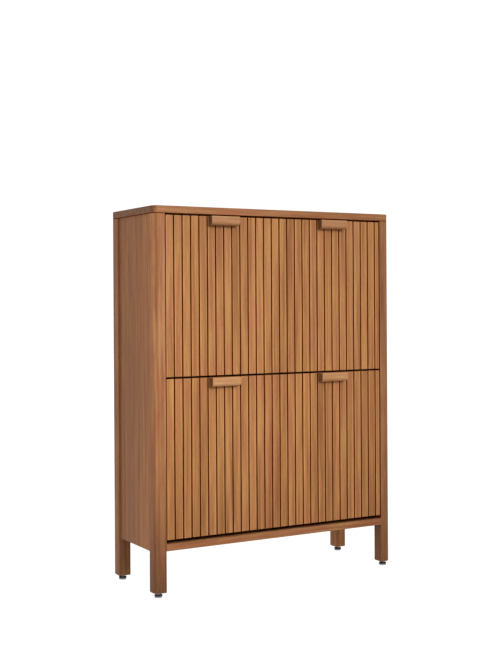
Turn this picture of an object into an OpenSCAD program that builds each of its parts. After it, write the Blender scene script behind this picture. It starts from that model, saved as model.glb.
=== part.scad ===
// Shoe cabinet with two slatted tilt-out fronts, millimetres.
// X runs to the right, Y runs to the back, Z runs up. The origin lies on the floor,
// under the middle of the whole object, pulls included.

/* [Cabinet] */
// Overall width
body_w = 850; // [760:10:950]
// Depth of the frame, from the front face to the back of the posts
body_d = 300; // [290:5:340]
// Overall height with the feet screwed in
body_h = 1150; // [1110:5:1200]
// Height of the gap between the floor and the ends of the legs
foot_h = 14; // [14:1:18]

/* [Frame] */
// Width and depth of each post
post_w = 38; // [34:1:42]
// Radius of the outer corner of each front post
front_corner_r = 20; // [8:1:24]
// Radius of the outer corner of each back post
back_corner_r = 3; // [1:1:6]
// Thickness of the top panel
top_t = 22; // [20:1:26]
// Thickness of the side panels, bottom panel and middle shelf
panel_t = 16; // [15:1:18]
// How far each side panel lies inside the outer face of its posts
side_recess = 5; // [3:1:7]
// Thickness of the back panel
back_t = 5; // [4:1:8]
// How far the back panel lies inside the back of the posts
back_recess = 5; // [3:1:8]
// Height of the bottom front rail
rail_h = 21; // [18:1:24]
// Thickness of the rails
rail_t = 20; // [16:1:20]
// Height of the underside of the bottom front rail above the floor
rail_z = 135.5; // [120:0.5:150]

/* [Fronts] */
// Gap above the upper front
top_gap = 5; // [4:1:8]
// Gap between the two fronts
middle_gap = 6; // [6:0.5:9]
// Gap below the lower front
bottom_gap = 11.5; // [8:0.5:14]
// Gap at each side of a front
side_gap = 3; // [2:0.5:4]
// How far the slats lie behind the front face of the posts
front_recess = 1.5; // [0:0.5:3]
// Thickness of the board behind the slats
board_t = 13; // [12:1:15]
// Thickness of the slats
slat_t = 7; // [5:0.5:9]
// Distance from one slat to the next
slat_pitch = 27.9; // [27:0.1:28]
// Width of the groove between two slats
groove_w = 4; // [3:0.5:6]
// Width of each pull
pull_w = 96; // [90:1:110]
// Height of each pull
pull_h = 27.5; // [24:0.5:32]
// How far each pull stands out from the slats
pull_out = 25; // [20:1:28]
// Distance from the middle of a front to the middle of each pull
pull_x = 195; // [185:1:205]

/* [Tilt] */
// Largest opening angle of a front
tilt_max = 48; // [40:1:50]
// Height of the pivot above the bottom edge of a front
pivot_rise = 25; // [22:1:30]
// Radius of the arc that the stop pin runs in
stop_arc_r = 85; // [80:1:95]
// Slope of the shoe tiers
tier_slope = 31; // [28:1:33]
// Distance from one shoe tier to the next
tier_pitch = 190; // [180:1:195]

/* [Feet] */
// Radius of the foot pad
pad_r = 12; // [10:0.5:14]
// Radius of the threaded stem
stem_r = 4; // [3:0.5:5]
// How far a foot screws out of its leg
foot_travel = 12; // [8:1:15]

/* [Hidden] */
$fn = 64;

// Colours
oak = [0.66, 0.45, 0.28];
oak_light = [0.72, 0.52, 0.33];
oak_dark = [0.53, 0.37, 0.26];
plywood = [0.76, 0.62, 0.44];
steel = [0.62, 0.62, 0.63];
black_steel = [0.16, 0.15, 0.14];
brown_plastic = [0.28, 0.20, 0.15];
grey_plastic = [0.58, 0.57, 0.56];

// Small allowances
running = 0.05;
eps = 0.5;

// Outer planes
left = -1;
right = 1;
front_y = -(body_d - pull_out + front_recess) / 2;
back_y = front_y + body_d;
face_y = front_y + front_recess;
top_z = body_h - top_t;
post_x = body_w / 2 - post_w / 2;
post_front_y = front_y + post_w / 2;
post_back_y = back_y - post_w / 2;

// Inner planes
opening_x = body_w / 2 - post_w;
side_in_x = body_w / 2 - side_recess - panel_t;
back_in_y = back_y - back_recess - back_t;
bottom_z = rail_z + 1;
side_panel_z = rail_z - 4;

// The two fronts
front_w = 2 * (opening_x - side_gap);
front_t = slat_t + board_t;
lower_z = rail_z + rail_h + bottom_gap;
fronts_h = top_z - top_gap - lower_z - middle_gap;
lower_h = fronts_h / 2 - 2.5;
upper_h = fronts_h - lower_h;
upper_z = lower_z + lower_h + middle_gap;
board_back_y = face_y + front_t;
slat_w = slat_pitch - groove_w;
slat_min_w = 6;
slat_count = floor((front_w - slat_min_w) / slat_pitch) + 1;
slat_ease = 1;

// Middle shelf, behind the top of the lower front
shelf_z = upper_z - 12 - panel_t;
shelf_front_y = board_back_y + 6;

// Hanging rail with its two holes for wall screws
hanging_h = 80;
wall_hole_r = 3;
wall_hole_x = 300;
wall_hole_z = top_z - 45;

// Pivots and stops
pivot_y = face_y + slat_t + board_t / 2;
pin_r = 4;
pin_in_board = 14;
pin_in_bush = 9;
bush_r = 6;
bush_depth = 11;
bush_flange_r = 8;
bush_flange_t = 1;
stop_r = 3;
stop_slot_r = 3.5;
stop_slot_end_r = 3.8;
stop_depth = 12;
stop_y = front_y + post_w - 8;
stop_rise = sqrt(pow(stop_arc_r, 2) - pow(stop_y - pivot_y, 2));
stop_angle = acos((stop_y - pivot_y) / stop_arc_r);

// Rack plates and shoe tiers
plate_t = 3;
plate_out_x = opening_x - 9;
plate_in_x = plate_out_x - plate_t;
plate_reach = 244;
plate_sweep_r = 392;
flange_w = 23;
tier_t = 12;
tier_l = 245;
tier_y = board_back_y + 4;
tier_rise = 14;

// Fasteners
dowel_r = 4;
dowel_half = 15;
dowel_shift = 5;
screw_r = 2;
screw_head_r = 4;
screw_head_t = 2.5;
back_screw_l = 16;
pull_screw_l = 35;
pull_screw_x = 38;
rack_screw_l = 11;
tier_screw_l = 22;

// Catches
catch_x = 290;
catch_w = 46;
catch_d = 16;
catch_h = 12;
catch_gap = 0.5;
magnet_d = 5;
strike_w = 40;
strike_h = 14;
strike_t = 1.5;

// Feet
insert_r = stem_r + 1.5;
insert_h = 25;
sole_h = 4;
pad_h = 5.5;
collar_h = 1.5;
collar_r = 7;
stem_top_z = foot_h + foot_travel + 10;
socket_z = sole_h + 0.5;

// Cylinder of length l along X, Y or Z, starting at the origin
module rod_x(l, r) { rotate([0, 90, 0]) cylinder(h = l, r = r); }
module rod_y(l, r) { rotate([-90, 0, 0]) cylinder(h = l, r = r); }
module rod_z(l, r) { cylinder(h = l, r = r); }

// Box between two corners
module block(low, high) { translate(low) cube(high - low); }

// Screw along +Z from the underside of its pan head; its hole is the same without the head
module screw(l, head) {
    cylinder(h = l, r = screw_r);
    if (head) translate([0, 0, -screw_head_t]) cylinder(h = screw_head_t, r = screw_head_r);
}

// Square section with one rounded corner at the origin
module corner_section(w, r) {
    translate([r, 0]) square([w - r, w]);
    translate([0, r]) square([w, w - r]);
    intersection() {
        translate([r, r]) circle(r = r, $fn = 96);
        square([r, r]);
    }
}

// Dowels: each pair of pieces that meet is held by dowels centred on their joint
module dowels_up() {
    for (x = [-post_x, post_x], y = [post_front_y, post_back_y])
        translate([x, y, top_z - dowel_half]) rod_z(2 * dowel_half, dowel_r);
}

module dowels_across() {
    rail_mid = [front_y + rail_t / 2, rail_z + rail_h / 2];
    hang_mid = [back_in_y - rail_t / 2, top_z - hanging_h / 2];
    for (x = [-opening_x, opening_x], m = [rail_mid, hang_mid])
        translate([x - dowel_half, m[0], m[1]]) rod_x(2 * dowel_half, dowel_r);
    for (s = [left, right], y = [front_y + 90, back_in_y - 60], z = [bottom_z, shelf_z])
        translate([s * (side_in_x - dowel_shift) - dowel_half, y, z + panel_t / 2])
            rod_x(2 * dowel_half, dowel_r);
}

module dowels_deep() {
    side_mid_x = body_w / 2 - side_recess - panel_t / 2;
    for (s = [left, right], y = [front_y + post_w, back_y - post_w], k = [0.12, 0.5, 0.88])
        translate([s * side_mid_x, y - dowel_half, rail_z + k * (top_z - rail_z)])
            rod_y(2 * dowel_half, dowel_r);
}

module all_dowels() {
    dowels_up();
    dowels_across();
    dowels_deep();
}

module assembly_dowels() { color(plywood) all_dowels(); }

// Frame
module top_panel() {
    corner_x = body_w / 2 - front_corner_r;
    color(oak) difference() {
        union() {
            block([-corner_x, front_y, top_z], [corner_x, back_y, body_h]);
            block([-body_w / 2, front_y + front_corner_r, top_z], [body_w / 2, back_y, body_h]);
            for (s = [left, right])
                translate([s * corner_x, front_y + front_corner_r, top_z])
                    cylinder(h = top_t, r = front_corner_r, $fn = 96);
        }
        dowels_up();
        catch_screw_set(false);
    }
}

// Post on one side (left or right), with its outer corner rounded by r
module post(side, back, r) {
    outer_y = back ? back_y : front_y;
    color(oak_dark) difference() {
        translate([side * body_w / 2, outer_y, foot_h])
            mirror([side == right ? 1 : 0, 0, 0])
                mirror([0, back ? 1 : 0, 0])
                    linear_extrude(top_z - foot_h) corner_section(post_w, r);
        all_dowels();
        translate([side * post_x, back ? post_back_y : post_front_y, foot_h - eps])
            rod_z(insert_h + 15 + eps, insert_r);
        if (!back)
            for (z0 = [lower_z, upper_z]) {
                bush_hole(side, z0);
                stop_pin(side, z0, false);
            }
    }
}

module side_panel(side) {
    x = [side * (body_w / 2 - side_recess), side * side_in_x];
    color(oak_dark) difference() {
        block([min(x), front_y + post_w, side_panel_z], [max(x), back_y - post_w, top_z]);
        dowels_across();
        dowels_deep();
    }
}

module back_panel() {
    color(plywood) difference() {
        block([-opening_x, back_in_y, rail_z], [opening_x, back_y - back_recess, top_z]);
        wall_holes();
        back_screw_set(false);
    }
}

// Panel between the side panels, cut round the posts
module level_panel(z, y0) {
    difference() {
        block([-side_in_x, y0, z], [side_in_x, back_in_y, z + panel_t]);
        for (s = [left, right])
            translate([s * post_x, 0, z + panel_t / 2]) {
                translate([0, post_front_y, 0]) cube([post_w, post_w, panel_t + 2 * eps], center = true);
                translate([0, post_back_y, 0]) cube([post_w, post_w, panel_t + 2 * eps], center = true);
            }
        dowels_across();
        back_screw_set(false);
    }
}

module bottom_panel() { color(oak_dark) level_panel(bottom_z, front_y + rail_t); }

module middle_shelf() {
    color(oak_dark) difference() {
        level_panel(shelf_z, shelf_front_y);
        catch_screw_set(false);
    }
}

module front_rail() {
    color(oak) difference() {
        block([-opening_x, front_y, rail_z], [opening_x, front_y + rail_t, rail_z + rail_h]);
        dowels_across();
    }
}

module hanging_rail() {
    color(oak_dark) difference() {
        block([-opening_x, back_in_y - rail_t, top_z - hanging_h], [opening_x, back_in_y, top_z]);
        dowels_across();
        wall_holes();
        back_screw_set(false);
    }
}

module wall_holes() {
    for (x = [-wall_hole_x, wall_hole_x])
        translate([x, back_in_y - rail_t - eps, wall_hole_z]) rod_y(rail_t + back_t + 2 * eps, wall_hole_r);
}

// Screws through the back panel into the hanging rail, the middle shelf and the bottom panel
module back_screw_set(head) {
    for (x = [-330, -110, 110, 330], z = [bottom_z + panel_t / 2, shelf_z + panel_t / 2, top_z - 15])
        translate([x, back_y - back_recess, z]) rotate([90, 0, 0]) screw(back_screw_l, head);
}

module back_panel_screws() { color(steel) back_screw_set(true); }

// Pivot bushes and stop pins, pressed into the front posts
module bush_hole(side, z0) {
    translate([side * opening_x, pivot_y, z0 + pivot_rise])
        rotate([0, side * 90, 0]) translate([0, 0, -eps]) cylinder(h = bush_depth + eps, r = bush_r);
}

module pivot_bush(side, z0) {
    translate([side * opening_x, pivot_y, z0 + pivot_rise]) rotate([0, side * 90, 0]) difference() {
        union() {
            cylinder(h = bush_depth, r = bush_r);
            translate([0, 0, -bush_flange_t]) cylinder(h = bush_flange_t, r = bush_flange_r);
        }
        translate([0, 0, -bush_flange_t - eps])
            cylinder(h = bush_flange_t + pin_in_bush + 2 * eps, r = pin_r + running);
    }
}

module pivot_bushes() {
    color(brown_plastic) for (side = [left, right], z0 = [lower_z, upper_z]) pivot_bush(side, z0);
}

module stop_pin(side, z0, collar) {
    reach = opening_x - plate_in_x - 0.6;
    translate([side * (opening_x + stop_depth), stop_y, z0 + pivot_rise + stop_rise])
        rotate([0, -side * 90, 0]) {
            cylinder(h = stop_depth + reach, r = stop_r);
            if (collar) translate([0, 0, stop_depth]) cylinder(h = 1.5, r = stop_r + 2);
        }
}

module stop_pins() {
    color(steel) for (side = [left, right], z0 = [lower_z, upper_z]) stop_pin(side, z0, true);
}

// Magnetic catches under the top panel and under the middle shelf
module catch_places() {
    for (x = [-catch_x, catch_x], z = [top_z, shelf_z])
        translate([x, board_back_y + strike_t + catch_gap, z]) children();
}

module catch_housings() {
    color(brown_plastic) difference() {
        catch_places() block([-catch_w / 2, 0, -catch_h], [catch_w / 2, catch_d, 0]);
        catch_places() block([-catch_w / 4, -eps, -catch_h + 3], [catch_w / 4, magnet_d, -3]);
        catch_screw_set(false);
    }
}

module catch_magnets() {
    color(black_steel) catch_places() block([-catch_w / 4, 0, -catch_h + 3], [catch_w / 4, magnet_d, -3]);
}

module catch_screw_set(head) {
    catch_places() for (x = [-catch_w / 2 + 6, catch_w / 2 - 6])
        translate([x, catch_d / 2, -catch_h]) {
            cylinder(h = catch_h + 8, r = 1.5);
            if (head) translate([0, 0, -1.5]) cylinder(h = 1.5, r = 3);
        }
}

module catch_screws() { color(steel) catch_screw_set(true); }

// Threaded inserts in the ends of the legs
module leg_inserts() {
    color(steel) for (x = [-post_x, post_x], y = [post_front_y, post_back_y])
        translate([x, y, foot_h]) difference() {
            cylinder(h = insert_h, r = insert_r);
            translate([0, 0, -eps]) cylinder(h = insert_h + 2 * eps, r = stem_r + running);
        }
}

// Parts of a front: z0 is its bottom edge and h its height
module front_board(z0, h) {
    color(oak_dark) difference() {
        block([-front_w / 2, face_y + slat_t, z0], [front_w / 2, board_back_y, z0 + h]);
        pull_screw_set(z0, h, false);
        flange_screw_set(z0, false);
        pivot_pin_set(z0);
    }
}

// Section of one slat of width w, its front edges eased
module slat_section(w) {
    polygon([
        [0, slat_t], [0, slat_ease], [slat_ease, 0],
        [w - slat_ease, 0], [w, slat_ease], [w, slat_t]
    ]);
}

module front_slats(z0, h) {
    color(oak) difference() {
        for (i = [0 : slat_count - 1])
            translate([-front_w / 2 + i * slat_pitch, face_y, z0])
                linear_extrude(h) slat_section(min(slat_w, front_w - i * slat_pitch));
        pull_screw_set(z0, h, false);
    }
}

// Pull: a bar with its lower front edge well rounded and its upper front edge eased
module pull_section() {
    low_r = 11;
    top_r = 2.5;
    translate([0, -pull_h + low_r]) square([pull_out, pull_h - low_r - top_r]);
    translate([low_r, -pull_h]) square([pull_out - low_r, low_r]);
    translate([top_r, -top_r]) square([pull_out - top_r, top_r]);
    translate([low_r, -pull_h + low_r]) circle(r = low_r);
    translate([top_r, -top_r]) circle(r = top_r);
}

module pull(side, z0, h) {
    color(oak_light) difference() {
        translate([side * pull_x - pull_w / 2, face_y - pull_out, z0 + h])
            rotate([90, 0, 90]) linear_extrude(pull_w) pull_section();
        pull_screw_set(z0, h, false);
    }
}

module pull_screw_set(z0, h, head) {
    for (side = [left, right], x = [-pull_screw_x, pull_screw_x])
        translate([side * pull_x + x, board_back_y, z0 + h - pull_h / 2 + 1])
            rotate([90, 0, 0]) screw(pull_screw_l, head);
}

// Bent steel plate with the arc-shaped slot for the stop pin
module rack_plate(side, z0) {
    pivot_z = z0 + pivot_rise;
    x = [side * plate_in_x, side * plate_out_x];
    flange_x = [side * (plate_out_x - flange_w), side * plate_out_x];
    color(black_steel) difference() {
        intersection() {
            union() {
                translate([min(x), 0, 0]) rotate([90, 0, 90]) linear_extrude(plate_t) polygon([
                    [board_back_y, z0 + 2], [board_back_y + 28, z0 + 2],
                    [face_y + plate_reach, z0 + 120], [face_y + plate_reach, z0 + 430],
                    [board_back_y, z0 + 430]
                ]);
                translate([0, board_back_y, z0])
                    block([min(flange_x), 0, 2], [max(flange_x), plate_t, 430]);
            }
            translate([-body_w / 2, pivot_y, pivot_z])
                rotate([0, 90, 0]) cylinder(h = body_w, r = plate_sweep_r, $fn = 256);
        }
        stop_slot(side, z0);
        flange_screw_set(z0, false);
        tier_screw_set(z0, false);
    }
}

// Slot round the pivot, from the stop pin's place when shut to its place when open
module stop_slot(side, z0) {
    depth = plate_t + 2 * eps;
    far = 2 * stop_arc_r;
    a0 = stop_angle - tilt_max;
    a1 = stop_angle;
    translate([side * (plate_in_x + plate_t / 2) - depth / 2, pivot_y, z0 + pivot_rise]) {
        rotate([90, 0, 90]) linear_extrude(depth) intersection() {
            difference() {
                circle(r = stop_arc_r + stop_slot_r, $fn = 128);
                circle(r = stop_arc_r - stop_slot_r, $fn = 128);
            }
            polygon([[0, 0], far * [cos(a0), sin(a0)], far * [cos(a1), sin(a1)]]);
        }
        for (a = [a0, a1])
            translate([0, stop_arc_r * cos(a), stop_arc_r * sin(a)]) rod_x(depth, stop_slot_end_r);
    }
}

module tier_place(z0, tier) {
    translate([0, tier_y, z0 + tier_rise + tier * tier_pitch]) rotate([tier_slope, 0, 0]) children();
}

module tier(z0, k) {
    color(plywood) difference() {
        tier_place(z0, k) block([-plate_in_x, 0, -tier_t], [plate_in_x, tier_l, 0]);
        tier_screw_set(z0, false);
    }
}

module flange_screw_set(z0, head) {
    for (side = [left, right], z = [30, 190, 350])
        translate([side * (plate_in_x - 10), board_back_y + plate_t, z0 + z])
            rotate([90, 0, 0]) screw(rack_screw_l, head);
}

module tier_screw_set(z0, head) {
    for (side = [left, right], k = [0, 1])
        tier_place(z0, k) for (y = [tier_l - 30, tier_l / 2 + 20])
            translate([side * plate_out_x, y, -tier_t / 2])
                rotate([0, -side * 90, 0]) screw(tier_screw_l, head);
}

module rack_screws(z0) {
    color(steel) {
        flange_screw_set(z0, true);
        tier_screw_set(z0, true);
    }
}

module pivot_pin_set(z0) {
    for (side = [left, right])
        translate([side * (front_w / 2 - pin_in_board), pivot_y, z0 + pivot_rise])
            rotate([0, side * 90, 0]) cylinder(h = pin_in_board + side_gap + pin_in_bush, r = pin_r);
}

module pivot_pins(z0) { color(steel) pivot_pin_set(z0); }

// Strike plates with their top edge at height z
module strike_plates(z) {
    color(steel) for (x = [-catch_x, catch_x])
        translate([x, board_back_y, z])
            block([-strike_w / 2, 0, -strike_h], [strike_w / 2, strike_t, 0]);
}

// Feet: sx and sy choose the leg
module at_leg(sx, sy) { translate([sx * post_x, sy < 0 ? post_front_y : post_back_y, 0]) children(); }

module foot_sole(sx, sy) { color(grey_plastic) at_leg(sx, sy) cylinder(h = sole_h, r = pad_r - 0.8); }

module foot_pad(sx, sy) {
    color(black_steel) at_leg(sx, sy) difference() {
        translate([0, 0, sole_h]) cylinder(h = pad_h, r = pad_r);
        translate([0, 0, socket_z]) cylinder(h = pad_h + eps, r = stem_r + running);
    }
}

module foot_stem(sx, sy) {
    color(steel) at_leg(sx, sy) {
        translate([0, 0, socket_z + 0.1]) cylinder(h = stem_top_z - socket_z - 0.1, r = stem_r);
        translate([0, 0, sole_h + pad_h + 0.3]) cylinder(h = collar_h, r = collar_r, $fn = 6);
    }
}

top_panel();
post(left, false, front_corner_r);  // post_front_left
post(right, false, front_corner_r);  // post_front_right
post(left, true, back_corner_r);  // post_back_left
post(right, true, back_corner_r);  // post_back_right
side_panel(left);  // side_panel_left
side_panel(right);  // side_panel_right
back_panel();
bottom_panel();
middle_shelf();
front_rail();
hanging_rail();
assembly_dowels();
back_panel_screws();
pivot_bushes();
stop_pins();
catch_housings();
catch_magnets();
catch_screws();
leg_inserts();

front_board(upper_z, upper_h);  // upper_board
front_slats(upper_z, upper_h);  // upper_slats
pull(left, upper_z, upper_h);  // upper_pull_left
pull(right, upper_z, upper_h);  // upper_pull_right
color(steel) pull_screw_set(upper_z, upper_h, true);  // upper_pull_screws
rack_plate(left, upper_z);  // upper_rack_plate_left
rack_plate(right, upper_z);  // upper_rack_plate_right
tier(upper_z, 0);  // upper_tier_low
tier(upper_z, 1);  // upper_tier_high
rack_screws(upper_z);  // upper_rack_screws
pivot_pins(upper_z);  // upper_pivot_pins
strike_plates(top_z - top_gap - 1);  // upper_strike_plates

front_board(lower_z, lower_h);  // lower_board
front_slats(lower_z, lower_h);  // lower_slats
pull(left, lower_z, lower_h);  // lower_pull_left
pull(right, lower_z, lower_h);  // lower_pull_right
color(steel) pull_screw_set(lower_z, lower_h, true);  // lower_pull_screws
rack_plate(left, lower_z);  // lower_rack_plate_left
rack_plate(right, lower_z);  // lower_rack_plate_right
tier(lower_z, 0);  // lower_tier_low
tier(lower_z, 1);  // lower_tier_high
rack_screws(lower_z);  // lower_rack_screws
pivot_pins(lower_z);  // lower_pivot_pins
strike_plates(shelf_z);  // lower_strike_plates

foot_pad(-1, -1);  // foot_pad_front_left
foot_pad(1, -1);  // foot_pad_front_right
foot_pad(-1, 1);  // foot_pad_back_left
foot_pad(1, 1);  // foot_pad_back_right
foot_sole(-1, -1);  // foot_sole_front_left
foot_sole(1, -1);  // foot_sole_front_right
foot_sole(-1, 1);  // foot_sole_back_left
foot_sole(1, 1);  // foot_sole_back_right
foot_stem(-1, -1);  // foot_stem_front_left
foot_stem(1, -1);  // foot_stem_front_right
foot_stem(-1, 1);  // foot_stem_back_left
foot_stem(1, 1);  // foot_stem_back_right
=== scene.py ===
import math
import random

import bmesh
import bpy
from mathutils import Matrix, Vector


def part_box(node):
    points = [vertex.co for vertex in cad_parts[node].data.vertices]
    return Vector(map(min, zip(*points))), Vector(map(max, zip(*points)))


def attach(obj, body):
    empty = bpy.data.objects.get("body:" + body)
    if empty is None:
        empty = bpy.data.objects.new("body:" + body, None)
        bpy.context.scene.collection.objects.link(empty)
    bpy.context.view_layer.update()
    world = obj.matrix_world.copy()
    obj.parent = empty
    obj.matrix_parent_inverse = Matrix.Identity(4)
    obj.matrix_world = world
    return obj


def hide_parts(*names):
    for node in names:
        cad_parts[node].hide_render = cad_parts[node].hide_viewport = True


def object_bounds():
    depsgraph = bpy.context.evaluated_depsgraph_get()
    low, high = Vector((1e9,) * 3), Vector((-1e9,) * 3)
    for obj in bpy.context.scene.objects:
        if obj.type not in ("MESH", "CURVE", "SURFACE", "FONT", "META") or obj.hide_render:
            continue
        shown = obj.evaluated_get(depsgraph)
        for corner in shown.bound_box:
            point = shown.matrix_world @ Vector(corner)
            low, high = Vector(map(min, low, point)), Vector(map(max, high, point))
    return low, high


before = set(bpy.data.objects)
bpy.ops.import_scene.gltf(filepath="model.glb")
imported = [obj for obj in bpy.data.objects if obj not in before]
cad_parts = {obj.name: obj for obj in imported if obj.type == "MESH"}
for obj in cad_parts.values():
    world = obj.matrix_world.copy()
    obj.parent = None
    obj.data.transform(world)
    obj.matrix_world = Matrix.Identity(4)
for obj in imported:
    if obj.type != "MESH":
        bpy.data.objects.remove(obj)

cad_low, cad_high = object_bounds()
scene = bpy.context.scene
dice = random.Random(7)

X, Y, Z = range(3)
UP = Vector((0, 0, 1))
UNTURNED = Matrix.Identity(3)
LEVELS, ENDS, SIDES = ("upper", "lower"), ("front", "back"), ("left", "right")
rail_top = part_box("front_rail")[1].z

# Sizes of details that the CAD frame's boxes don't give, in metres
MM = 0.001
POST_CORNER = 20 * MM  # outer corner of the top panel and the front posts
BACK_CORNER = 3 * MM  # outer corner of the back posts
EASE = 1.2 * MM  # usual easing of a wooden edge
FINE_EASE = 0.5 * MM  # edges of thin boards and ends of slats
SIDE_EASE = 0.6 * MM  # upright edges of the side panels
GLUED_EASE = 0.25 * MM  # back edges of the slats, against their board
BUTT_EASE = 0.1 * MM  # ends of the front rail, against the posts
SEAM_EASE = 1.4 * MM  # where the posts meet the top panel
LEG_EASE = 2.5 * MM  # foot ends of the posts
TIER_EASE = 2.4 * MM  # long edges of the shoe tiers
DOWEL_EASE = 0.8 * MM
PULL_LOW_CORNER = 11 * MM  # front lower corner of the pulls
PULL_TOP_CORNER = 2.5 * MM  # front upper corner of the pulls
BORE_GAP = 0.02 * MM  # clearance round what sits in a bore
STEM_ROOM = 15 * MM  # bore above a leg's insert, for the stem

# ---------------------------------------------------------------- geometry

TIGHT_CORNER = 4 * MM  # a corner below this radius is rounded in TIGHT_STEPS, a wider one in WIDE_STEPS
TIGHT_STEPS, WIDE_STEPS = 4, 14
END_STEPS = 3  # rings that round the end of a bar
RIM_STEPS = 4  # rings that round the rim of a disc
BORE_SEGMENTS = 32
SAME_POINT = 1e-6
FLAT_ANGLE = math.radians(1)  # CAD faces that meet at less than this are merged
SHARP_ANGLE = math.radians(40)  # CAD edges above this are eased


def box_of(points):
    """Lowest and highest corner of some points."""
    return Vector(map(min, zip(*points))), Vector(map(max, zip(*points)))


def solids(node):
    """The points of each separate solid of a CAD node, from left to right."""
    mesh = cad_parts[node].data
    first_at = {}
    parent = [first_at.setdefault(tuple(round(c, 5) for c in v.co), v.index) for v in mesh.vertices]

    def find(i):
        while parent[i] != i:
            i = parent[i]
        return i

    for edge in mesh.edges:
        a, b = (find(i) for i in edge.vertices)
        parent[max(a, b)] = min(a, b)
    groups = {}
    for v in mesh.vertices:
        groups.setdefault(find(v.index), []).append(v.co.copy())
    return sorted(groups.values(), key=lambda points: tuple(box_of(points)[0]))


def arc(centre, radius, start, count):
    """Points on a quarter turn from the angle start, anticlockwise."""
    angles = [start + math.pi / 2 * k / count for k in range(count + 1)]
    return [(centre[0] + radius * math.cos(a), centre[1] + radius * math.sin(a)) for a in angles]


def rounded_rectangle(low, high, radii, inset):
    """Outline with its own radius at each corner, anticlockwise from the low corner."""
    corners = [(low[0], low[1]), (high[0], low[1]), (high[0], high[1]), (low[0], high[1])]
    inward = [(1, 1), (-1, 1), (-1, -1), (1, -1)]
    points = []
    for k, (corner, radius) in enumerate(zip(corners, radii)):
        r = max(radius - inset, radius / 4)
        centre = [corner[i] + inward[k][i] * (inset + r) for i in (0, 1)]
        count = TIGHT_STEPS if radius < TIGHT_CORNER else WIDE_STEPS
        points += arc(centre, r, math.pi * (1 + k / 2), count)
    return points


def loft(rings):
    """Closed skin over rings that have the same number of points."""
    bm = bmesh.new()
    made = [[bm.verts.new(p) for p in ring] for ring in rings]
    count = len(rings[0])
    for below, above in zip(made, made[1:]):
        for i in range(count):
            j = (i + 1) % count
            bm.faces.new((below[i], below[j], above[j], above[i]))
    bm.faces.new(reversed(made[0]))
    bm.faces.new(made[-1])
    return bm


def bar(low, high, axis, radii, ends):
    """Rounded bar along an axis: radii of its long edges, one or four, and the easing of its two ends."""
    if not isinstance(radii, (list, tuple)):
        radii = [radii] * 4
    u, v = (axis + 1) % 3, (axis + 2) % 3
    turns = [math.pi / 2 * k / END_STEPS for k in range(END_STEPS + 1)]
    stations = [(low[axis] + ends[0] * (1 - math.cos(t)), ends[0] * (1 - math.sin(t))) for t in turns]
    turns.reverse()
    stations += [(high[axis] - ends[1] * (1 - math.cos(t)), ends[1] * (1 - math.sin(t))) for t in turns]
    rings = []
    for place, inset in stations:
        ring = []
        for point in rounded_rectangle((low[u], low[v]), (high[u], high[v]), radii, inset):
            p = [0, 0, 0]
            p[axis], p[u], p[v] = place, point[0], point[1]
            ring.append(p)
        rings.append(ring)
    return loft(rings)


def turned(rings, segments):
    """Closed shape about +Z from (height, radius) pairs; a radius may be a function of the angle."""
    made = []
    for height, radius in rings:
        ring = []
        for k in range(segments):
            a = 2 * math.pi * k / segments
            r = radius(a) if callable(radius) else radius
            ring.append((r * math.cos(a), r * math.sin(a), height))
        made.append(ring)
    return loft(made)


def corner_rings(z0, z1, radius, ease):
    """(height, radius) pairs of a disc with both its rims rounded."""
    low, high = [], []
    for k in range(RIM_STEPS + 1):
        a = math.pi / 2 * k / RIM_STEPS
        low.append((z0 + ease * (1 - math.sin(a)), radius - ease * (1 - math.cos(a))))
        high.append((z1 - ease * (1 - math.sin(a)), radius - ease * (1 - math.cos(a))))
    return low[::-1] + high


def drill(ob, start, direction, depth, radius):
    """Bores a round hole into a mesh object, with a cutter that starts a little outside it."""
    cutter = turned([(-2 * MM, radius), (depth, radius)], BORE_SEGMENTS)
    cutter.transform(Matrix.Translation(start) @ UP.rotation_difference(direction).to_matrix().to_4x4())
    bmesh.ops.recalc_face_normals(cutter, faces=cutter.faces)
    tool = bpy.data.objects.new("cutter", bpy.data.meshes.new("cutter"))
    cutter.to_mesh(tool.data)
    cutter.free()
    scene.collection.objects.link(tool)
    modifier = ob.modifiers.new("bore", "BOOLEAN")
    modifier.object = tool
    modifier.operation = "DIFFERENCE"
    modifier.solver = "EXACT"
    done = bpy.data.meshes.new_from_object(ob.evaluated_get(bpy.context.evaluated_depsgraph_get()))
    ob.modifiers.remove(modifier)
    old = ob.data
    ob.data = done
    bpy.data.meshes.remove(old)
    bpy.data.objects.remove(tool)


def eased_copy(node, ease):
    """A CAD node's own shape with its sharp edges eased."""
    bm = bmesh.new()
    bm.from_mesh(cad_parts[node].data)
    bmesh.ops.remove_doubles(bm, verts=bm.verts, dist=SAME_POINT)
    bmesh.ops.dissolve_limit(bm, angle_limit=FLAT_ANGLE, verts=bm.verts, edges=bm.edges)
    sharp = [e for e in bm.edges if len(e.link_faces) == 2 and e.calc_face_angle(0) > SHARP_ANGLE]
    bmesh.ops.bevel(bm, geom=sharp, offset=ease, segments=2, profile=0.5, affect="EDGES", clamp_overlap=True)
    return bm


# ---------------------------------------------------------------- pieces

SMOOTH_ANGLE = math.radians(38)  # faces that meet at more than this keep a hard edge between them
FACING = 0.9  # a face looks along a direction if more than this share of its normal does
SQUARE = 0.98  # a face is square to the piece if at least this share of its normal is along one axis
WORN_WIDTH = 1.1 * MM  # slanting faces narrower than this are worn edges
END_FROM, END_OVER = 0.3, 0.6  # share of the normal along the grain: where end grain starts, and its span
PLANK_SHIFT = 20  # planks are cut from this much wood in each direction, in metres


def mesh_object(name, bm):
    """A linked object from a bmesh, with its faces turned outwards."""
    bmesh.ops.recalc_face_normals(bm, faces=bm.faces)
    mesh = bpy.data.meshes.new(name)
    bm.to_mesh(mesh)
    bm.free()
    ob = bpy.data.objects.new(name, mesh)
    scene.collection.objects.link(ob)
    return ob


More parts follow.
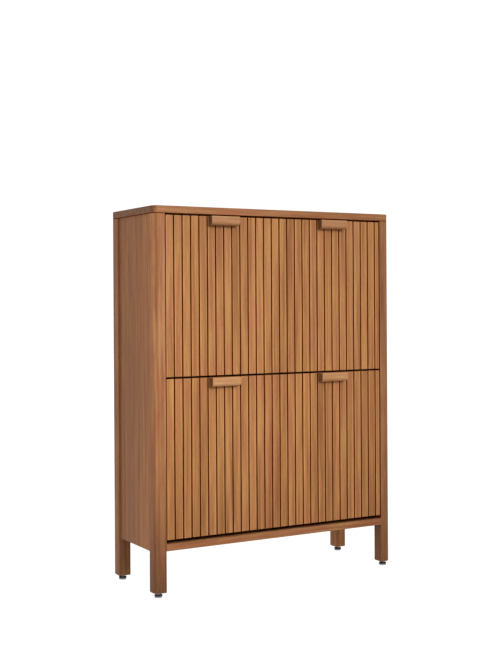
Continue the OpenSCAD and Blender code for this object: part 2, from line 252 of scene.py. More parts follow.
def dress(ob, body, nodes, slot, material):
    """Shading, finish and place in the frame that every piece needs."""
    mesh = ob.data
    mesh.polygons.foreach_set("use_smooth", [True] * len(mesh.polygons))
    mesh.set_sharp_from_angle(angle=SMOOTH_ANGLE)
    normals = ob.modifiers.new("weighted", "WEIGHTED_NORMAL")
    normals.keep_sharp = True
    mesh.materials.clear()
    mesh.materials.append(material)
    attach(ob, body)
    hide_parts(*nodes)


def store(mesh, name, domain, numbers):
    """Stores one number for each point or face of a mesh, for its material to read."""
    mesh.attributes.new(name, "FLOAT", domain).data.foreach_set("value", numbers)


def grain_marks(ob, along, tone, warmth, turn=UNTURNED, grooved=None):
    """Stores where each point lies in the plank it was cut from, and the plank's own tone.

    The material reads these: plank (along, across and through the grain), tone (a number, or a
    function of the point that paints shade and light), warmth, across (-1 to 1 over the piece's width),
    end_grain, which grows as a face turns across the grain, eased on the narrow faces of worn edges, and
    groove on the faces that the test grooved picks for painted shade.
    """
    mesh = ob.data
    shift = [dice.uniform(0, PLANK_SHIFT) for _ in range(3)]
    order = [along, (along + 1) % 3, (along + 2) % 3]
    plank = []
    for v in mesh.vertices:
        p = turn @ v.co
        plank += [p[axis] + s for axis, s in zip(order, shift)]
    mesh.attributes.new("plank", "FLOAT_VECTOR", "POINT").data.foreach_set("vector", plank)

    low, high = box_of([v.co for v in mesh.vertices])
    width, depth = (high[axis] - low[axis] for axis in order[1:])
    side = order[1] if width > depth else order[2]
    across = [2 * (v.co[side] - low[side]) / (high[side] - low[side]) - 1 for v in mesh.vertices]
    store(mesh, "tone", "POINT", [tone(v.co) if callable(tone) else tone for v in mesh.vertices])
    store(mesh, "warmth", "POINT", [warmth] * len(mesh.vertices))
    store(mesh, "across", "POINT", across)

    ends, worn, groove = [], [], []
    for face in mesh.polygons:
        normal = turn @ face.normal
        edges = [mesh.vertices[a].co - mesh.vertices[b].co for a, b in face.edge_keys]
        narrow = min(edge.length for edge in edges) < WORN_WIDTH
        ends.append(min(1.0, max(0.0, abs(normal[along]) - END_FROM) / END_OVER))
        worn.append(1.0 if max(map(abs, normal)) < SQUARE and narrow else 0.0)
        # faces that the test picks get painted shade: a dark brown that stands in for the shade in gaps,
        # grooves and seams
        groove.append(float(grooved(normal, turn @ face.center)) if grooved else 0.0)
    store(mesh, "end_grain", "FACE", ends)
    store(mesh, "eased", "FACE", worn)
    store(mesh, "groove", "FACE", groove)


def wooden(name, bm, body, nodes, slot, material, along, spread, holes=(), grooved=None, tone=None):
    """A wooden piece whose grain runs along an axis.

    Chance sets its warmth within the spread, and its tone too unless one is given.
    """
    ob = mesh_object(name, bm)
    for hole in holes:
        drill(ob, *hole)
    own_tone, warmth = (dice.uniform(-spread, spread) for _ in range(2))
    grain_marks(ob, along, own_tone if tone is None else tone, warmth, grooved=grooved)
    dress(ob, body, nodes, slot, material)


def ply(ob, body, node, along, thin, slope=UNTURNED):
    """Dresses a plywood board that is thin along an axis, before the slope turns it."""
    level = slope.transposed()
    grain_marks(ob, along, dice.uniform(-0.3, 0.3), 0.0, level)
    edge = [1.0 if abs((level @ face.normal)[thin]) < FACING else 0.0 for face in ob.data.polygons]
    store(ob.data, "ply_edge", "FACE", edge)
    dress(ob, body, [node], "plywood", inner_ply)


# ---------------------------------------------------------------- materials

# Repeats per metre of each layer of a wood's figure: along, across and through the grain
SWAY, STREAK, PATCH = (1.6, 7, 7), (1.8, 95, 95), (7, 60, 60)
FIBRE, PORE = (9, 480, 480), (55, 1500, 1500)
PLY_WAVE, PLY_FIBRE, PLY_FLECK = (1.2, 24, 24), (14, 500, 500), (120, 1300, 1300)
SWAY_BY = 0.02  # how far the grain wanders, in metres
WARMTH_STEP = 0.4  # share of the redder colour for one step of warmth
STREAK_DARK = 0.62  # share of the dark colour in the darkest streaks
TONE_STEP = 0.13  # change of brightness for one step of tone
PORE_DARK, PORE_ROUGH = 0.3, 0.2
EASED_LIGHT = 0.1  # worn edges are this much lighter
PLY_LAYER, GLUE_LINE = 0.75 * MM, 0.2 * MM
WOOD_BUMP, PLY_BUMP, METAL_BUMP, PLASTIC_BUMP = 0.12 * MM, 0.1 * MM, 0.03 * MM, 0.06 * MM


def linear(red, green, blue):
    """A colour given as 0 to 255 on a screen, as Blender's linear colour."""
    channels = []
    for c in (red, green, blue):
        c /= 255
        channels.append(c / 12.92 if c <= 0.04045 else ((c + 0.055) / 1.055) ** 2.4)
    return (*channels, 1)


class Graph:
    """Short hand for building a node material."""

    def __init__(self, name, **shader):
        self.material = bpy.data.materials.new(name)
        self.material.use_nodes = True
        self.tree = self.material.node_tree
        self.shader = self.tree.nodes["Principled BSDF"]
        for socket, value in shader.items():
            self.shader.inputs[socket.replace("_", " ")].default_value = value

    def node(self, kind, inputs=None, output=0, **settings):
        """Adds a node and returns one of its outputs; an input is a socket to link or a value."""
        made = self.tree.nodes.new("ShaderNode" + kind)
        for key, value in settings.items():
            setattr(made, key, value)
        for key, value in (inputs or {}).items():
            if isinstance(value, bpy.types.NodeSocket):
                self.tree.links.new(value, made.inputs[key])
            else:
                made.inputs[key].default_value = value
        return made.outputs[output]

    def attribute(self, name, output="Fac"):
        return self.node("Attribute", attribute_name=name, output=output)

    def own_place(self):
        """The point in the object's own coordinates."""
        return self.node("TexCoord", output="Object")

    def scaled(self, vector, scale):
        return self.node("VectorMath", {0: vector, 1: scale}, operation="MULTIPLY")

    def noise(self, vector, detail=2.0, roughness=0.5, distortion=0.0, output="Fac"):
        settings = {"Vector": vector, "Scale": 1.0, "Detail": detail, "Roughness": roughness}
        return self.node("TexNoise", {**settings, "Distortion": distortion}, output=output)

    def math(self, operation, a, b=0.0, clamp=False):
        return self.node("Math", {0: a, 1: b}, operation=operation, use_clamp=clamp)

    def range(self, value, low, high, to_low=0.0, to_high=1.0):
        inputs = {"Value": value, "From Min": low, "From Max": high, "To Min": to_low, "To Max": to_high}
        return self.node("MapRange", inputs)

    def mix(self, factor, a, b, blend="MIX"):
        """Mixes two colours; sockets 6 and 7 take them and output 2 gives the result."""
        return self.node("Mix", {0: factor, 6: a, 7: b}, 2, data_type="RGBA", blend_type=blend)

    def shaded(self, colour, shade):
        """A colour multiplied by a number."""
        return self.mix(1.0, colour, self.node("CombineColor", {0: shade, 1: shade, 2: shade}), "MULTIPLY")

    def link(self, value, socket):
        self.tree.links.new(value, self.shader.inputs[socket])

    def finish(self, colour, roughness, height, distance):
        bump = self.node("Bump", {"Strength": 0.5, "Distance": distance, "Height": height})
        for socket, value in (("Base Color", colour), ("Roughness", roughness), ("Normal", bump)):
            if value is not None:
                self.link(value, socket)
        return self.material


def wood(name, golden, pink, dark, figure=1.0, shine=0.3, rubbed=0.0, end_dark=0.42):
    """Open-pored wood under a satin lacquer.

    figure is the strength of the dark streaks, rubbed makes both sides of a piece lighter than its
    middle, and end_dark is how much darker end grain is. Faces marked for painted shade take a dark
    brown and lose their shine.
    """
    g = Graph(name)
    plank = g.attribute("plank", "Vector")
    sway = g.noise(g.scaled(plank, SWAY), output="Color")
    centred = g.node("VectorMath", {0: sway, 1: (0.5, 0.5, 0.5)}, operation="SUBTRACT")
    bend = g.scaled(centred, (0, SWAY_BY, SWAY_BY))
    fibre_at = g.node("VectorMath", {0: plank, 1: bend}, operation="ADD")
    streak = g.noise(g.scaled(fibre_at, STREAK), detail=5, roughness=0.62)
    patch = g.noise(g.scaled(fibre_at, PATCH), detail=3, roughness=0.6)
    fibre = g.noise(g.scaled(fibre_at, FIBRE), detail=4, roughness=0.7)
    pore = g.range(g.noise(g.scaled(fibre_at, PORE), detail=1), 0.62, 0.74)

    warmth = g.math("MULTIPLY", g.attribute("warmth"), WARMTH_STEP)
    hue = g.math("ADD", g.range(patch, 0.4, 0.6), warmth, True)
    depth = g.math("MULTIPLY", g.range(streak, 0.4, 0.66), STREAK_DARK * figure)
    colour = g.mix(depth, g.mix(hue, golden, pink), dark)

    shade = g.range(fibre, 0.3, 0.7, 0.88, 1.1)
    shade = g.math("ADD", shade, g.math("MULTIPLY", g.attribute("tone"), TONE_STEP))
    shade = g.math("SUBTRACT", shade, g.math("MULTIPLY", pore, PORE_DARK))
    shade = g.math("SUBTRACT", shade, g.math("MULTIPLY", g.attribute("end_grain"), end_dark))
    if rubbed:
        edge = g.range(g.math("ABSOLUTE", g.attribute("across")), 0.35, 0.95, -rubbed, rubbed)
        shade = g.math("ADD", shade, edge)
    shade = g.math("ADD", shade, g.math("MULTIPLY", g.attribute("eased"), EASED_LIGHT))
    # painted shade: marked faces turn a dark brown that stands in for shade, and lose their shine
    colour = g.mix(g.attribute("groove"), g.shaded(colour, shade), SHADE_BROWN)

    sheen = g.math("MULTIPLY", g.math("SUBTRACT", 1.0, g.attribute("groove")), shine)
    g.link(sheen, "Specular IOR Level")
    rough = g.math("ADD", g.range(fibre, 0.2, 0.8, 0.4, 0.54), g.math("MULTIPLY", pore, PORE_ROUGH))
    height = g.math("SUBTRACT", g.math("MULTIPLY", fibre, 0.5), pore)
    return g.finish(colour, rough, height, WOOD_BUMP)


def plywood(name, face, glue):
    """Plywood: pale rotary-cut faces and dark glue lines on its edges."""
    g = Graph(name, Specular_IOR_Level=0.35)
    plank = g.attribute("plank", "Vector")
    wave = g.noise(g.scaled(plank, PLY_WAVE), detail=6, roughness=0.66, distortion=0.2)
    fibre = g.noise(g.scaled(plank, PLY_FIBRE), detail=3)
    fleck = g.range(g.noise(g.scaled(plank, PLY_FLECK), detail=1), 0.62, 0.74)
    colour = g.mix(g.range(wave, 0.35, 0.7, 0.0, 0.34), face, glue)
    layer = g.math("PINGPONG", g.node("SeparateXYZ", {0: plank}, "Z"), PLY_LAYER)
    line = g.math("MULTIPLY", g.range(layer, 0.0, GLUE_LINE, 0.75, 0.0), g.attribute("ply_edge"))
    colour = g.mix(line, colour, glue)
    shade = g.math("SUBTRACT", g.range(fibre, 0.2, 0.8, 0.88, 1.08), g.math("MULTIPLY", fleck, 0.2))
    return g.finish(g.shaded(colour, shade), g.range(fibre, 0.2, 0.8, 0.5, 0.66), fibre, PLY_BUMP)


def metal(name, colour, worn, roughness, metallic, brush):
    """Plated or powder-coated steel with fine marks, brush to the metre, and cloudy roughness."""
    g = Graph(name, Metallic=metallic)
    at = g.own_place()
    marks = g.noise(g.scaled(at, brush), detail=3)
    cloud = g.noise(g.scaled(at, (60, 60, 60)), detail=4, roughness=0.6)
    tone = g.mix(g.range(cloud, 0.35, 0.7), colour, worn)
    rough = g.range(g.math("ADD", marks, cloud), 0.6, 1.4, roughness - 0.08, roughness + 0.12)
    return g.finish(tone, rough, marks, METAL_BUMP)


def plastic(name, colour, worn, roughness):
    """Moulded plastic with a fine spark-eroded grain."""
    g = Graph(name, Specular_IOR_Level=0.45)
    at = g.own_place()
    grain = g.noise(g.scaled(at, (1400, 1400, 1400)), detail=2)
    cloud = g.noise(g.scaled(at, (90, 90, 90)), detail=3)
    tone = g.mix(g.range(cloud, 0.35, 0.7), colour, worn)
    rough = g.range(grain, 0.3, 0.7, roughness - 0.06, roughness + 0.08)
    return g.finish(tone, rough, grain, PLASTIC_BUMP)


# Painted shade: the dark brown of the faces in the grooves between the slats, beside the fronts and in the
# seams under the top panel
SHADE_BROWN = linear(124, 50, 6)
frame_wood = wood(
    "frame_wood", linear(194, 136, 88), linear(184, 119, 78), linear(126, 72, 34), shine=0.22,
)
panel_wood = wood(
    "panel_wood", linear(178, 115, 56), linear(170, 102, 52), linear(116, 65, 28), shine=0.32,
)
slat_wood = wood(
    "slat_wood", linear(206, 146, 84), linear(200, 131, 83), linear(134, 77, 30),
    figure=1.05, shine=0.26, rubbed=0.08, end_dark=0.15,
)
# The pulls' ends are darker than on the other woods: partly real end grain, partly painted shade on their
# ends
pull_wood = wood(
    "pull_wood", linear(204, 153, 104), linear(194, 136, 92), linear(158, 100, 56),
    figure=0.8, end_dark=0.66,
)
board_wood = wood("board_wood", linear(120, 70, 36), linear(108, 58, 32), linear(80, 42, 22))
inner_ply = plywood("inner_plywood", linear(216, 176, 126), linear(152, 102, 58))
bright_steel = metal(
    "bright_steel", linear(196, 196, 198), linear(168, 168, 172), 0.28, 1.0, (900, 900, 12),
)
dark_steel = metal(
    "dark_steel", linear(44, 41, 39), linear(58, 54, 51), 0.46, 0.0, (300, 300, 300),
)
brown_plastic = plastic("brown_plastic", linear(86, 62, 48), linear(98, 72, 57), 0.45)
grey_plastic = plastic("grey_plastic", linear(196, 194, 192), linear(178, 176, 174), 0.5)

# ---------------------------------------------------------------- cabinet

# Tones fitted to the shading in the photo: painted shade and light of each post from its middle up and at
# its foot, painted shade of the side panels at their front and back edge, and even tones of the top panel
# and the front rail
POST_PAINTED_SHADING = {
    ("front", "left"): (0.2, -4.2),
    ("front", "right"): (-1.9, -2.2),
    ("back", "left"): (-1.4, -2.4),
    ("back", "right"): (0.4, 2.4),
}
SIDE_PAINTED_SHADE = (1.3, -1.3)
TOP_TONE, RAIL_TONE = -0.3, -0.4
# The posts' painted shading darkens three legs towards the floor and lightens the foot of the back right one
FADE_TOP = 0.44  # height below which the tone of the posts changes
FADE_CURVE = 1.3  # above 1 the change is slow at first and faster towards the foot
FADE_CUTS = (0.06, 0.28)  # heights where the posts get points of their own, to carry that change


def in_seam(height):
    """A test for the slanting faces at the joint between the top panel and the posts, which get painted
    shade.
    """
    return lambda normal, centre: abs(centre.z - height) < SEAM_EASE and abs(normal.z) < SQUARE


def in_gap(side, seam):
    """A test for a front post's faces in the seam, and its inner faces beside the fronts, which get painted
    shade.
    """
    inward = 1 if side == "left" else -1
    return lambda normal, centre: (
        normal.x * inward > FACING and centre.z > rail_top or seam(normal, centre)
    )


def insert_hole(low, high):
    """The hole in the end of a leg for its threaded insert, and for the stem above that."""
    for points in solids("leg_inserts"):
        ring_low, ring_high = box_of(points)
        if low.x < ring_low.x < high.x and low.y < ring_low.y < high.y:
            centre, radius = (ring_low + ring_high) / 2, (ring_high.x - ring_low.x) / 2
            start = Vector((centre.x, centre.y, low.z))
            return start, UP, ring_high.z - low.z + STEM_ROOM, radius + BORE_GAP


def pin_holes(side, low, high):
    """The holes in the inner face of a front post for its pivot bushes and stop pins."""
    inner, into_post = (high.x, Vector((-1, 0, 0))) if side == "left" else (low.x, Vector((1, 0, 0)))
    holes = []
    for name in ("pivot_bushes", "stop_pins"):
        for points in solids(name):
            a, b = box_of(points)
            if a.x < inner < b.x:
                buried = max(abs(a.x), abs(b.x)) - abs(inner)
                middle = (a + b) / 2
                radius = radius_beyond(points, inner, into_post) + BORE_GAP
                holes.append((Vector((inner, middle.y, middle.z)), into_post, buried, radius))
    return holes


def radius_beyond(points, face, into_post):
    """Radius of the part of a solid that lies beyond a face."""
    inside = [p for p in points if (p.x - face) * into_post.x > 0.1 * MM]
    low, high = box_of(inside)
    return (high.z - low.z) / 2


def post_painted_shading(end, side):
    """Painted shade and light of a post at a point: even from FADE_TOP up, and changing towards the foot
    below it.
    """
    above, foot_shading = POST_PAINTED_SHADING[end, side]

    def tone(point):
        share = max(0.0, 1 - point.z / FADE_TOP)
        return above + (foot_shading - above) * share ** FADE_CURVE

    return tone


def post(side, end):
    """A corner post: its outer corner is rounded, and its leg end is bored for the threaded insert."""
    node = f"post_{end}_{side}"
    low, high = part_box(node)
    radii = [EASE] * 4
    outer = {"left": {"front": 0, "back": 3}, "right": {"front": 1, "back": 2}}[side][end]
    radii[outer] = POST_CORNER if end == "front" else BACK_CORNER
    bm = bar(low, high, Z, radii, (LEG_EASE, SEAM_EASE))
    for height in sorted((*FADE_CUTS, rail_top, FADE_TOP)):
        everything = bm.verts[:] + bm.edges[:] + bm.faces[:]
        bmesh.ops.bisect_plane(bm, geom=everything, plane_co=(0, 0, height), plane_no=UP)
    holes, shade_faces = [insert_hole(low, high)], in_seam(high.z)
    if end == "front":
        holes += pin_holes(side, low, high)
        shade_faces = in_gap(side, shade_faces)
    wooden(
        f"{node}_wood", bm, "root", [node], "frame_wood", frame_wood, Z,
        spread=0.1, holes=holes, grooved=shade_faces, tone=post_painted_shading(end, side),
    )


def top_panel():
    """The top panel, with painted shade on the eased edge all round its underside."""
    low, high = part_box("top_panel")
    radii = [POST_CORNER, POST_CORNER, BACK_CORNER, BACK_CORNER]
    wooden(
        "top_panel_wood", bar(low, high, Z, radii, (SEAM_EASE, EASE)), "root", ["top_panel"],
        "frame_wood", frame_wood, X, spread=0.2, grooved=in_seam(low.z), tone=TOP_TONE,
    )


def side_painted_shade(front, back):
    """Painted shade of a side panel at a point, darker from the front to the back as the photo's shading is.
    """
    front_shade, back_shade = SIDE_PAINTED_SHADE
    return lambda point: front_shade + (back_shade - front_shade) * (point.y - front) / (back - front)


def side_panel(side):
    node = f"side_panel_{side}"
    low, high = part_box(node)
    wooden(
        f"{node}_wood", bar(low, high, Z, SIDE_EASE, (EASE, FINE_EASE)), "root", [node],
        "panel_wood", panel_wood, Z, spread=0.2, tone=side_painted_shade(low.y, high.y),
    )


def front_rail():
    bm = bar(*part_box("front_rail"), X, EASE, (BUTT_EASE, BUTT_EASE))
    wooden(
        "front_rail_wood", bm, "root", ["front_rail"], "frame_wood", frame_wood, X,
        spread=0, tone=RAIL_TONE,
    )


def inner_panel(node):
    """A panel inside the cabinet, in the shape the CAD gives it."""
    bm = eased_copy(node, FINE_EASE)
    wooden(f"{node}_wood", bm, "root", [node], "panel_wood", panel_wood, X, spread=0.2)


def back_panel():
    ply(mesh_object("back_panel_ply", eased_copy("back_panel", FINE_EASE)), "root", "back_panel", Z, Y)


def cabinet():
    """Everything wooden that stands still, except the dowels."""
    for end in ENDS:
        for side in SIDES:
            post(side, end)
    top_panel()
    for side in SIDES:
        side_panel(side)
    front_rail()
    for node in ("bottom_panel", "middle_shelf", "hanging_rail"):
        inner_panel(node)
    back_panel()


# ---------------------------------------------------------------- fronts

PULL_TONES = {"upper": -0.3, "lower": 0.5}  # fitted to the photo like those of the posts


def beside_groove(normal, centre):
    """A test for the left and right faces of a slat, which get painted shade."""
    return abs(normal.x) > FACING


def faces_front(normal, centre):
    """A test for the face of the board that shows between the slats, which gets painted shade."""
    return normal.y < -FACING


def slats(level):
    for k, points in enumerate(solids(f"{level}_slats"), 1):
        low, high = box_of(points)
        bm = bar(low, high, Z, [EASE, EASE, GLUED_EASE, GLUED_EASE], (FINE_EASE, FINE_EASE))
        wooden(
            f"{level}_slat_{k:02d}", bm, f"{level}_front", [f"{level}_slats"], "slat_wood", slat_wood, Z,
            spread=0.4, grooved=beside_groove,
        )


def board(level):
    """The board behind the slats of a front."""
    bm = eased_copy(f"{level}_board", FINE_EASE)
    wooden(
        f"{level}_board_wood", bm, f"{level}_front", [f"{level}_board"], "panel_wood", board_wood, Z,
        spread=0.2, grooved=faces_front,
    )


def pull(level, side):
    node = f"{level}_pull_{side}"
    low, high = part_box(node)
    bm = bar(low, high, X, [PULL_LOW_CORNER, FINE_EASE, FINE_EASE, PULL_TOP_CORNER], (EASE, EASE))
    wooden(
        f"{node}_wood", bm, f"{level}_front", [node], "pull_wood", pull_wood, X,
        spread=0.3, tone=PULL_TONES[level],
    )


def shoe_tier(node, body):
    """A sloping plywood tier: its slope is that of the CAD board's widest face."""
    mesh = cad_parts[node].data
    widest = max(mesh.polygons, key=lambda face: face.area)
    up = widest.normal.copy() if widest.normal.z > 0 else -widest.normal
    slope = UP.rotation_difference(up).to_matrix()
    low, high = box_of([slope.transposed() @ v.co for v in mesh.vertices])
    bm = bar(low, high, X, TIER_EASE, (FINE_EASE, FINE_EASE))
    bm.transform(slope.to_4x4())
    ply(mesh_object(f"{node}_ply", bm), body, node, X, Z, slope)


def front(level):
    """The wooden pieces of a tilting front."""
    slats(level)
    board(level)
    for side in SIDES:
        pull(level, side)
    for tier in ("low", "high"):
        shoe_tier(f"{level}_tier_{tier}", f"{level}_front")


# ---------------------------------------------------------------- hardware

SCREW_SEGMENTS = 32
SCREW_PITCH = 1.4 * MM
DOME_RINGS, DOME_STEP = 6, math.radians(15)  # rings of a screw's head, and the angle between them
CROSS_REACH, CROSS_WIDTH = 0.48, 0.16  # half a cross recess's length and arm width, to the head's radius
CROSS_FLOOR, CROSS_MOUTH = (0.3, 0.7), (0.97, 1.0)  # (height over the seat to the head's, scale)
NECK = 0.4 * MM  # plain shank under a screw's head
HAIR = 0.0001 * MM  # keeps the neck's ring off the ring of the head
THREAD_DEPTH = 0.2  # share of the radius
TIP_LENGTH, TIP_BLUNT = 3 * MM, 0.15  # a thread runs out over this length, to this share of its radius
NEAR_END = 0.2 * MM  # points this near to a solid's end, or to its widest radius, count as there
ANY_TURN = 3  # screws stop at an angle by chance, up to this many radians


def thread_rings(start, end, radius, pitch):
    """(height, radius) pairs of a screw's thread, running out to a blunt point at the end."""
    rings = []
    steps = max(8, int((end - start) / (pitch / 4)))
    for k in range(steps + 1):
        z = start + (end - start) * k / steps
        point = min(1.0, (end - z) / TIP_LENGTH + TIP_BLUNT)

        def radius_at(angle, z=z, point=point):
            phase = (z / pitch - angle / (2 * math.pi)) % 1
            return point * radius * (1 - THREAD_DEPTH * abs(2 * phase - 1))

        rings.append((z, radius_at))
    return rings


def cross_screw(head_radius, head_height, shank_radius, length):
    """A pan-head screw along +Z with its head at the origin and below, and a cross recess in the head."""

    def cross(share):
        def outline(angle):
            off_arm = abs((angle + math.pi / 4) % (math.pi / 2) - math.pi / 4)
            reach = CROSS_REACH / math.cos(off_arm)
            return share * head_radius * min(reach, CROSS_WIDTH / max(math.sin(off_arm), 0.01))

        return outline

    recess = [(-depth * head_height, cross(share)) for depth, share in (CROSS_FLOOR, CROSS_MOUTH)]
    dome = []
    for k in range(DOME_RINGS):
        a = DOME_STEP * k
        dome.append((-head_height * math.sin(a), head_radius * math.sqrt(math.cos(a))))
    shank = [(HAIR, shank_radius)] + thread_rings(NECK, length, shank_radius, SCREW_PITCH)
    return turned(recess + dome[::-1] + shank, SCREW_SEGMENTS)


def placed_screw(points):
    """A screw in the place of a CAD solid, pointing the way that the solid does."""
    low, high = box_of(points)
    size = high - low
    centre = (low + high) / 2
    axis = max(range(3), key=lambda i: size[i])
    others = [i for i in range(3) if i != axis]

    def off_axis(p):
        return math.hypot(*(p[i] - centre[i] for i in others))

    def radius_near(place):
        return max(off_axis(p) for p in points if abs(p[axis] - place) < NEAR_END)

    radius_low, radius_high = radius_near(low[axis]), radius_near(high[axis])
    head_at_low = radius_low > radius_high
    head_radius = max(size[i] for i in others) / 2
    head = [p[axis] for p in points if off_axis(p) > head_radius - NEAR_END]
    head_height = max(head) - min(head)
    bm = cross_screw(head_radius, head_height, min(radius_low, radius_high), size[axis] - head_height)
    direction, seat = Vector((0, 0, 0)), centre.copy()
    direction[axis] = 1 if head_at_low else -1
    seat[axis] = low[axis] + head_height if head_at_low else high[axis] - head_height
    turn = UP.rotation_difference(direction).to_matrix().to_4x4()
    bm.transform(Matrix.Translation(seat) @ turn @ Matrix.Rotation(dice.uniform(0, ANY_TURN), 4, "Z"))
    return bm


def screws(node, body):
    """Every screw of a CAD node, joined in one piece."""
    joined = bmesh.new()
    for points in solids(node):
        bm = placed_screw(points)
        copied = bpy.data.meshes.new("one_screw")
        bm.to_mesh(copied)
        bm.free()
        joined.from_mesh(copied)
        bpy.data.meshes.remove(copied)
    dress(mesh_object(f"{node}_turned", joined), body, [node], "bright_steel", bright_steel)


def dowels():
    ob = mesh_object("assembly_dowels_eased", eased_copy("assembly_dowels", DOWEL_EASE))
    grain_marks(ob, X, 0.0, 0.0)
    store(ob.data, "ply_edge", "FACE", [0.0] * len(ob.data.polygons))
    dress(ob, "root", ["assembly_dowels"], "plywood", inner_ply)


def hardware():
    """The screws, the other metal and plastic pieces in the CAD's own shapes, and the dowels."""
    screws("back_panel_screws", "root")
    screws("catch_screws", "root")
    # node: body, material, slot, easing in millimetres
    kept = {
        "pivot_bushes": ("root", brown_plastic, "brown_plastic", 0.25),
        "stop_pins": ("root", bright_steel, "bright_steel", 0.4),
        "catch_housings": ("root", brown_plastic, "brown_plastic", 0.5),
        "catch_magnets": ("root", dark_steel, "dark_steel", 0.3),
        "leg_inserts": ("root", bright_steel, "bright_steel", 0.2),
    }
    for level in LEVELS:
        body = f"{level}_front"
        screws(f"{level}_pull_screws", body)
        screws(f"{level}_rack_screws", body)
        for side in SIDES:
            kept[f"{level}_rack_plate_{side}"] = (body, dark_steel, "dark_steel", 0.5)
        kept[f"{level}_pivot_pins"] = (body, bright_steel, "bright_steel", 0.4)
        kept[f"{level}_strike_plates"] = (body, bright_steel, "bright_steel", 0.4)
    for node, (body, material, slot, ease) in kept.items():
        ob = mesh_object(f"{node}_eased", eased_copy(node, ease * MM))
        dress(ob, body, [node], slot, material)
    dowels()


# ---------------------------------------------------------------- levelling feet

DISC_SEGMENTS, STEM_SEGMENTS = 48, 36
SOLE_RIM, PAD_RIM = 0.9 * MM, 1.1 * MM  # rounding of their rims
RIM_DROP = 1.2 * MM  # the pad's rim ends this far below the top of its boss
BOSS_DROP, BOSS_FOOT, BOSS_TOP = 0.5 * MM, 7.2 * MM, 6.4 * MM  # height and radii of the boss
PAD_BORE, PAD_FLOOR = 4.1 * MM, 0.6 * MM  # radius of the pad's bore, and what it leaves below
STEM_POINT, STEM_TIP = 0.4 * MM, 0.8  # chamfer of the stem's low end: its height and share of the radius
COLLAR_FROM = 5 * MM  # the stem's collar is what lies further than this from the axis
COLLAR_CHAMFER, COLLAR_TRIM = 0.3 * MM, 0.9  # its height and share of the corners' radius
THREAD_GAP, THREAD_ROOT = 0.1 * MM, 0.84  # between the collar and the thread: height and share of the radius
STEM_PITCH = 1.25 * MM
STEM_TOP = 0.1 * MM  # points this near to the top show the stem's radius


def foot_axis(place):
    """Where the axis of a levelling foot meets the floor."""
    low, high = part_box(f"foot_sole_{place}")
    return Vector(((low.x + high.x) / 2, (low.y + high.y) / 2, 0))


def foot_part(part, place, rings, body, slot, material, segments):
    """Adds a round part of a levelling foot."""
    bm = turned(rings, segments)
    bm.transform(Matrix.Translation(foot_axis(place)))
    dress(mesh_object(f"foot_{place}_{part}", bm), body, [f"foot_{part}_{place}"], slot, material)


def foot_sole(place):
    low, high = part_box(f"foot_sole_{place}")
    rings = corner_rings(low.z, high.z, (high.x - low.x) / 2, SOLE_RIM)
    foot_part("sole", place, rings, f"foot_{place}", "grey_plastic", grey_plastic, DISC_SEGMENTS)


def foot_pad(place):
    """The black pad, with a low boss round the bore that takes the stem."""
    low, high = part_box(f"foot_pad_{place}")
    rings = corner_rings(low.z, high.z - RIM_DROP, (high.x - low.x) / 2, PAD_RIM)
    rings += [(high.z - BOSS_DROP, BOSS_FOOT), (high.z, BOSS_TOP)]
    rings += [(high.z, PAD_BORE), (low.z + PAD_FLOOR, PAD_BORE)]
    foot_part("pad", place, rings, f"foot_{place}", "dark_steel", dark_steel, DISC_SEGMENTS)


def foot_stem(place):
    """The threaded stem, with a hexagonal collar near its low end."""
    axis = foot_axis(place)
    points = [v.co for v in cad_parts[f"foot_stem_{place}"].data.vertices]
    low, high = box_of(points)

    def off_axis(p):
        return math.hypot(p.x - axis.x, p.y - axis.y)

    collar_low, collar_high = box_of([p for p in points if off_axis(p) > COLLAR_FROM])
    corner = (collar_high.x - collar_low.x) / 2
    radius = min(off_axis(p) for p in points if p.z > high.z - STEM_TOP)

    def hexagon(trim):
        def outline(angle):
            flat = corner * math.cos(math.pi / 6)
            return min(flat / math.cos((angle % (math.pi / 3)) - math.pi / 6), corner * trim)

        return outline

    trimmed, full = hexagon(COLLAR_TRIM), hexagon(1.0)
    rings = [(low.z, radius * STEM_TIP), (low.z + STEM_POINT, radius), (collar_low.z, radius)]
    rings += [(collar_low.z, trimmed), (collar_low.z + COLLAR_CHAMFER, full)]
    rings += [(collar_high.z - COLLAR_CHAMFER, full), (collar_high.z, trimmed)]
    rings += [(collar_high.z, radius * THREAD_ROOT)]
    rings += thread_rings(collar_high.z + THREAD_GAP, high.z, radius, STEM_PITCH)
    foot_part("stem", place, rings, f"stem_{place}", "bright_steel", bright_steel, STEM_SEGMENTS)


def feet():
    for end in ENDS:
        for side in SIDES:
            place = f"{end}_{side}"
            foot_sole(place)
            foot_pad(place)
            foot_stem(place)


# ---------------------------------------------------------------- studio

FLOOR_SIZE = 30
FLOOR_TONE, FLOOR_TONE_2 = (0.3, 0.3, 0.3, 1), (0.33, 0.33, 0.33, 1)
FLOOR_GLOW = 0.9  # seen by the camera alone, so that the floor stays pale but throws little light back
FLOOR_SHEEN = 0.6  # seen in glossy reflections alone, so that the lacquer has a pale floor to mirror
SKY_SEEN, SKY_LIGHT = 1.05, 0.7  # white surroundings as the camera sees them, and as they light things
KEY_AT, KEY_POWER, KEY_RADIUS = (0.25, -3.4, 2.1), 425, 0.8
KEY_CONE, KEY_BLEND, KEY_STRETCH = 21, 0.9, 2.6
FILL_AT, FILL_POWER, FILL_SIZE = (-3.2, -1.0, 0.9), 12, 2.2
KEY_AIM, FILL_AIM = (-0.35, 0.62), (0.0, 0.3)  # across in metres, up as a share of the height

CAMERA_AT = (-1.8335, -3.1664, 0.8647)
CAMERA_YAW, CAMERA_PITCH, CAMERA_ROLL = 29.81, -0.06, -0.32
CAMERA_LENS = 61.39
CAMERA_SHIFT = (-0.00127, -0.0471)


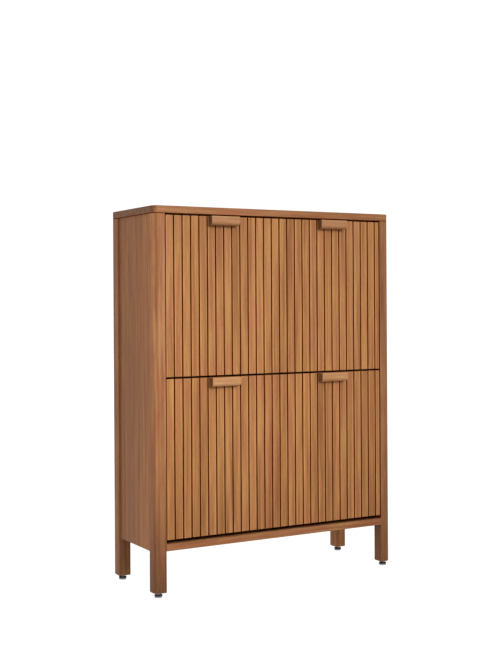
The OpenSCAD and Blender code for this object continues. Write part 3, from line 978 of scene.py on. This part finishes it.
def camera():
    """Camera out to the left of the cabinet, about level with the middle of the upper front."""
    data = bpy.data.cameras.new("camera")
    data.lens = CAMERA_LENS
    data.shift_x, data.shift_y = CAMERA_SHIFT
    ob = bpy.data.objects.new("camera", data)
    yaw, pitch, roll = (math.radians(a) for a in (CAMERA_YAW, CAMERA_PITCH, CAMERA_ROLL))
    ahead = Vector((math.sin(yaw) * math.cos(pitch), math.cos(yaw) * math.cos(pitch), math.sin(pitch)))
    right = ahead.cross(UP).normalized()
    up = right.cross(ahead)
    tipped = right * math.cos(roll) + up * math.sin(roll)
    turn = Matrix((tipped, tipped.cross(ahead), -ahead)).transposed().to_4x4()
    ob.matrix_world = Matrix.Translation(CAMERA_AT) @ turn
    scene.collection.objects.link(ob)
    scene.camera = ob


def floor():
    """A plain pale floor."""
    bpy.ops.mesh.primitive_plane_add(size=FLOOR_SIZE, location=(0, 0, cad_low.z))
    plane = bpy.context.object
    plane.name = "studio_floor"
    g = Graph("studio_floor", Roughness=0.9, Specular_IOR_Level=0.1)
    speck = g.noise(g.scaled(g.own_place(), (3, 3, 3)), detail=3)
    g.finish(g.mix(speck, FLOOR_TONE, FLOOR_TONE_2), None, speck, 0.01 * MM)
    g.shader.inputs["Emission Color"].default_value = (1, 1, 1, 1)
    seen = g.math("MULTIPLY", g.node("LightPath", output="Is Camera Ray"), FLOOR_GLOW)
    mirrored = g.math("MULTIPLY", g.node("LightPath", output="Is Glossy Ray"), FLOOR_SHEEN)
    g.link(g.math("ADD", seen, mirrored), "Emission Strength")
    plane.data.materials.append(g.material)


def surroundings():
    """White surroundings that light the object softly from all sides."""
    world = bpy.data.worlds.new("studio")
    world.use_nodes = True
    tree = world.node_tree
    ray = tree.nodes.new("ShaderNodeLightPath")
    strength = tree.nodes.new("ShaderNodeMapRange")
    tree.links.new(ray.outputs["Is Camera Ray"], strength.inputs["Value"])
    strength.inputs["To Min"].default_value = SKY_LIGHT
    strength.inputs["To Max"].default_value = SKY_SEEN
    tree.links.new(strength.outputs[0], tree.nodes["Background"].inputs["Strength"])
    tree.nodes["Background"].inputs["Color"].default_value = (1, 1, 1, 1)
    scene.world = world


def lamp(data, at, aim, stretch):
    """Places a light that looks at a point of the cabinet's front."""
    ob = bpy.data.objects.new(data.name, data)
    ob.location = at
    target = Vector((aim[0], cad_low.y, cad_high.z * aim[1]))
    ob.rotation_euler = (target - ob.location).to_track_quat("-Z", "Y").to_euler()
    ob.scale = stretch
    scene.collection.objects.link(ob)


def lights():
    """A wide soft key light from the front, and a weak fill from the left."""
    key = bpy.data.lights.new("key", "SPOT")
    key.energy = KEY_POWER
    key.shadow_soft_size = KEY_RADIUS
    key.spot_size = math.radians(KEY_CONE)
    key.spot_blend = KEY_BLEND
    lamp(key, KEY_AT, KEY_AIM, (KEY_STRETCH, 1, 1))
    fill = bpy.data.lights.new("fill", "AREA")
    fill.shape = "DISK"
    fill.size = FILL_SIZE
    fill.energy = FILL_POWER
    lamp(fill, FILL_AT, FILL_AIM, (1, 1, 1))


camera()
floor()
surroundings()
lights()
scene.view_settings.view_transform = "Standard"
cabinet()
for level in LEVELS:
    front(level)
hardware()
feet()
